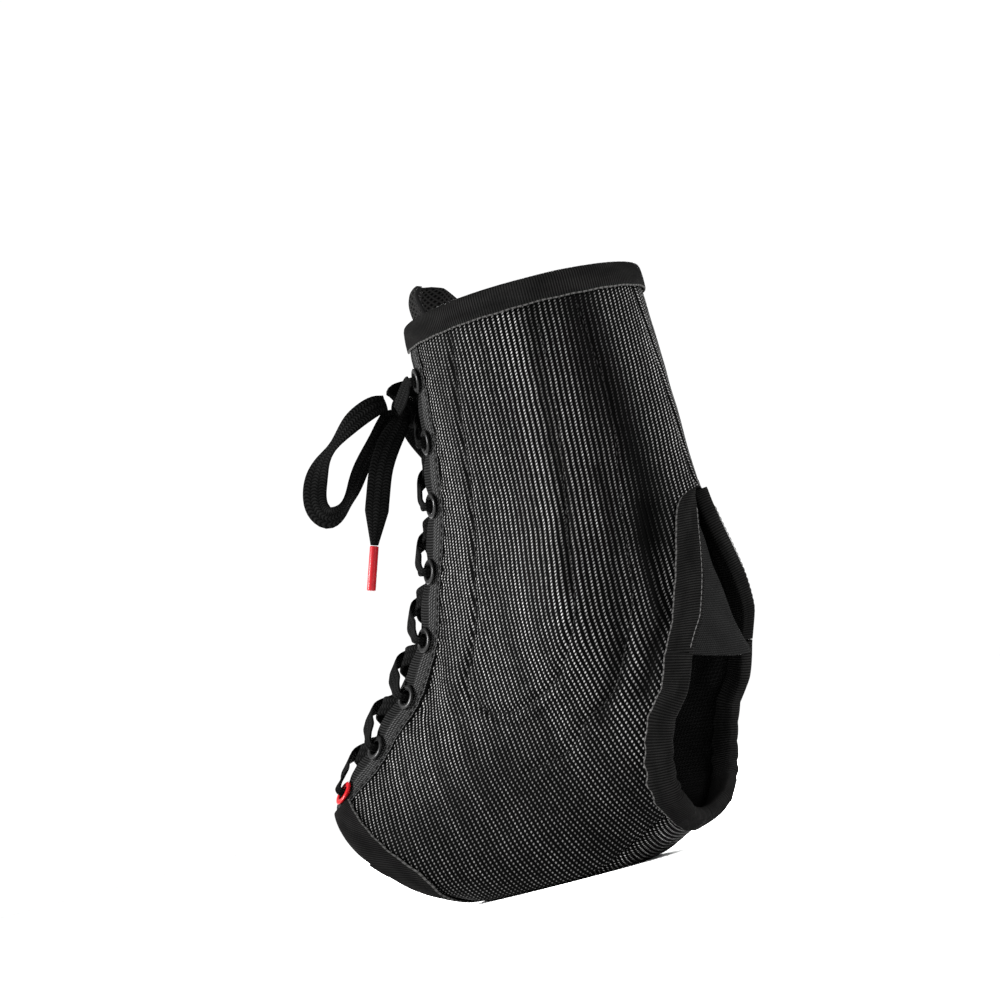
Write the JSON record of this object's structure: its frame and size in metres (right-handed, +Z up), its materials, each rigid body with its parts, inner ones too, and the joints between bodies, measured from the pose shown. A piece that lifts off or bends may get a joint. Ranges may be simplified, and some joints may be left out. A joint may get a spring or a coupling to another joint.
{
  "type": "ankle brace",
  "caption": "Black lace-up ankle brace of woven cloth with ribbed edge tape, padded tongue, open heel with knit gusset, and flat laces tied in a bow.",
  "frame": {"origin": "on the sole's flat patch, on the centre line, where the brace stands on the floor", "axes": "+Z up out of the leg opening, -Y towards the toes, +Y towards the heel, +X to one side; the two sides mirror each other except for the bow"},
  "size_m": [0.0906, 0.1758, 0.2307],
  "materials": {
    "weave": "coarse double-layer nylon weave, slightly shiny yarns",
    "facing": "ribbed reinforced strip",
    "tape": "ribbed grosgrain binding tape",
    "knit": "fine elastic knit, matte",
    "tongue_cloth": "padded cloth, matte",
    "lace": "flat woven lace, matte",
    "eyelet_black": "glossy black enamel",
    "eyelet_red": "glossy red enamel",
    "aglet": "smooth red plastic tube"
  },
  "bodies": {
    "root": {"side_panel_left": "weave", "side_panel_right": "weave", "sole_panel": "weave", "eyelet_facing_left": "facing", "eyelet_facing_right": "facing", "eyelet_left_8": "eyelet_black", "eyelet_left_7": "eyelet_black", "eyelet_left_6": "eyelet_black", "eyelet_left_5": "eyelet_black", "eyelet_left_4": "eyelet_black", "eyelet_left_3": "eyelet_black", "eyelet_left_2": "eyelet_black", "eyelet_left_1": "eyelet_red", "eyelet_right_8": "eyelet_black", "eyelet_right_7": "eyelet_black", "eyelet_right_6": "eyelet_black", "eyelet_right_5": "eyelet_black", "eyelet_right_4": "eyelet_black", "eyelet_right_3": "eyelet_black", "eyelet_right_2": "eyelet_black", "eyelet_right_1": "eyelet_red", "rim_binding": "tape", "foot_binding": "tape", "gusset_binding_left": "tape", "gusset_binding_right": "tape", "heel_binding": "tape", "heel_gusset": "knit", "tongue": "tongue_cloth", "lace_run_left": "lace", "lace_run_right": "lace", "bow_knot": "lace", "bow_loop_left": "lace", "bow_loop_right": "lace", "lace_end_left": "lace", "lace_end_right": "lace", "aglet_left": "aglet", "aglet_right": "aglet"}
  },
  "joints": []
}
